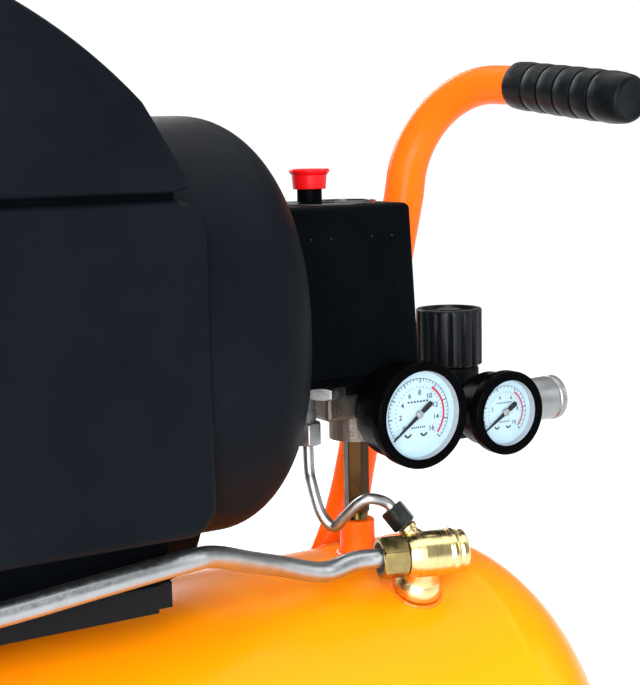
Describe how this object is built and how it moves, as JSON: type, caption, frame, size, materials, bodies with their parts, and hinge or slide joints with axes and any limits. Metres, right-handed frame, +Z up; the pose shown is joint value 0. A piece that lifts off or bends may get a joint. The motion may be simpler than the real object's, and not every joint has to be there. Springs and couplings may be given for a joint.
{
  "type": "air compressor",
  "caption": "Horizontal-tank portable air compressor: dished steel tank, black pump and motor shroud, pressure switch, gauges, regulator, quick coupler, bent-tube handle, wheels and feet.",
  "frame": {"origin": "on the ground, under the middle of the bounding box", "axes": "+X along the tank towards the handle and the air outlet, +Z up, -Y the front that the gauges face"},
  "size_m": [0.5858, 0.276, 0.5843],
  "materials": {
    "tank_paint": "gloss powder coat, yellow-orange",
    "handle_paint": "gloss powder coat, orange",
    "black_paint": "satin black paint",
    "shroud_plastic": "fine-textured moulded black",
    "gauge_case": "gloss black",
    "gauge_face": "matt pale blue-white print",
    "gauge_lens": "clear polished",
    "needle_black": "satin black",
    "cast_alloy": "as cast",
    "iron": "as cast",
    "machined_steel": "machined, zinc plated",
    "plated_sleeve": "satin nickel plate",
    "bright_tube": "drawn, bright",
    "brass_parts": "machined",
    "red_plastic": "gloss red",
    "grip_rubber": "matt moulded",
    "wheel_rubber": "solid rubber, matt"
  },
  "bodies": {
    "compressor": {"tank_shell": "tank_paint", "tank_head_left": "tank_paint", "tank_head_right": "tank_paint", "saddle_left": "tank_paint", "saddle_right": "tank_paint", "mount_plate": "black_paint", "shroud_base": "shroud_plastic", "shroud_motor_cover": "shroud_plastic", "shroud_pump_cover": "shroud_plastic", "crankcase": "cast_alloy", "crankcase_cover": "cast_alloy", "oil_sight_glass": "gauge_lens", "cylinder": "iron", "cylinder_head": "cast_alloy", "air_filter": "shroud_plastic", "motor_stator": "iron", "motor_end_bell": "cast_alloy", "motor_foot": "black_paint", "column_nipple": "brass_parts", "manifold": "cast_alloy", "switch_base": "machined_steel", "switch_cover": "shroud_plastic", "switch_collar": "shroud_plastic", "cable_gland": "shroud_plastic", "check_valve_body": "brass_parts", "check_valve_nut": "brass_parts", "discharge_tube": "bright_tube", "unloader_valve": "machined_steel", "unloader_tube": "machined_steel", "unloader_nut": "machined_steel", "gauge_tank_case": "gauge_case", "gauge_tank_dial": "gauge_face", "gauge_tank_lens": "gauge_lens", "gauge_outlet_case": "gauge_case", "gauge_outlet_dial": "gauge_face", "gauge_outlet_lens": "gauge_lens", "regulator_body": "black_paint", "coupler_body": "machined_steel", "safety_valve": "brass_parts", "drain_valve": "brass_parts", "foot_bracket": "black_paint", "rubber_foot_front": "grip_rubber", "rubber_foot_rear": "grip_rubber", "wheel_bracket": "black_paint", "handle_tube": "handle_paint", "handle_grip": "grip_rubber"},
    "crank": {"crankshaft": "machined_steel", "rotor_core": "cast_alloy", "cooling_fan": "shroud_plastic"},
    "piston_body": {"piston": "cast_alloy"},
    "rod_body": {"connecting_rod": "cast_alloy"},
    "switch_button": {"switch_knob": "red_plastic"},
    "regulator_handwheel": {"regulator_knob": "shroud_plastic"},
    "tank_needle": {"gauge_tank_needle": "needle_black"},
    "outlet_needle": {"gauge_outlet_needle": "needle_black"},
    "sleeve": {"coupler_sleeve": "plated_sleeve"},
    "relief_ring": {"safety_ring": "machined_steel"},
    "drain_screw": {"drain_knob": "brass_parts"},
    "front_wheel": {"wheel_front": "wheel_rubber"},
    "rear_wheel": {"wheel_rear": "wheel_rubber"}
  },
  "joints": [
    {"name": "crank_spin", "type": "hinge", "parent": "compressor", "child": "crank", "pos_m": [0, 0, 0.4227], "axis": [1, 0, 0], "continuous": true},
    {"name": "piston_slide", "type": "slide", "parent": "compressor", "child": "piston_body", "axis": [0, 0, 1], "range_m": [0, 0.04]},
    {"name": "rod_swing", "type": "hinge", "parent": "piston_body", "child": "rod_body", "pos_m": [-0.14, 0, 0.4867], "axis": [1, 0, 0], "range_deg": [-13.6, 13.6]},
    {"name": "switch_knob_slide", "type": "slide", "parent": "compressor", "child": "switch_button", "axis": [0, 0, 1], "range_m": [-0.006, 0]},
    {"name": "regulator_turn", "type": "hinge", "parent": "compressor", "child": "regulator_handwheel", "pos_m": [0.2197, 0, 0.4032], "axis": [0, 0, 1], "range_deg": [0, 1170]},
    {"name": "tank_needle_turn", "type": "hinge", "parent": "compressor", "child": "tank_needle", "pos_m": [0.1625, -0.052, 0.3757], "axis": [0, 1, 0], "range_deg": [0, 265]},
    {"name": "outlet_needle_turn", "type": "hinge", "parent": "compressor", "child": "outlet_needle", "pos_m": [0.2148, -0.052, 0.3708], "axis": [0, 1, 0], "range_deg": [0, 265]},
    {"name": "sleeve_slide", "type": "slide", "parent": "compressor", "child": "sleeve", "axis": [-1, 0, 0], "range_m": [0, 0.0045], "stiffness_N_per_m": 500, "springref_m": -0.004},
    {"name": "safety_ring_pull", "type": "slide", "parent": "compressor", "child": "relief_ring", "axis": [0, 1, 0], "range_m": [0, 0.003], "stiffness_N_per_m": 2500, "springref_m": -0.004},
    {"name": "drain_turn", "type": "hinge", "parent": "compressor", "child": "drain_screw", "pos_m": [0.02, 0, 0.035], "axis": [0, 0, -1], "range_deg": [0, 720]},
    {"name": "wheel_front_spin", "type": "hinge", "parent": "compressor", "child": "front_wheel", "pos_m": [-0.197, -0.124, 0.06], "axis": [0, 1, 0], "continuous": true},
    {"name": "wheel_rear_spin", "type": "hinge", "parent": "compressor", "child": "rear_wheel", "pos_m": [-0.197, 0.124, 0.06], "axis": [0, 1, 0], "continuous": true}
  ]
}
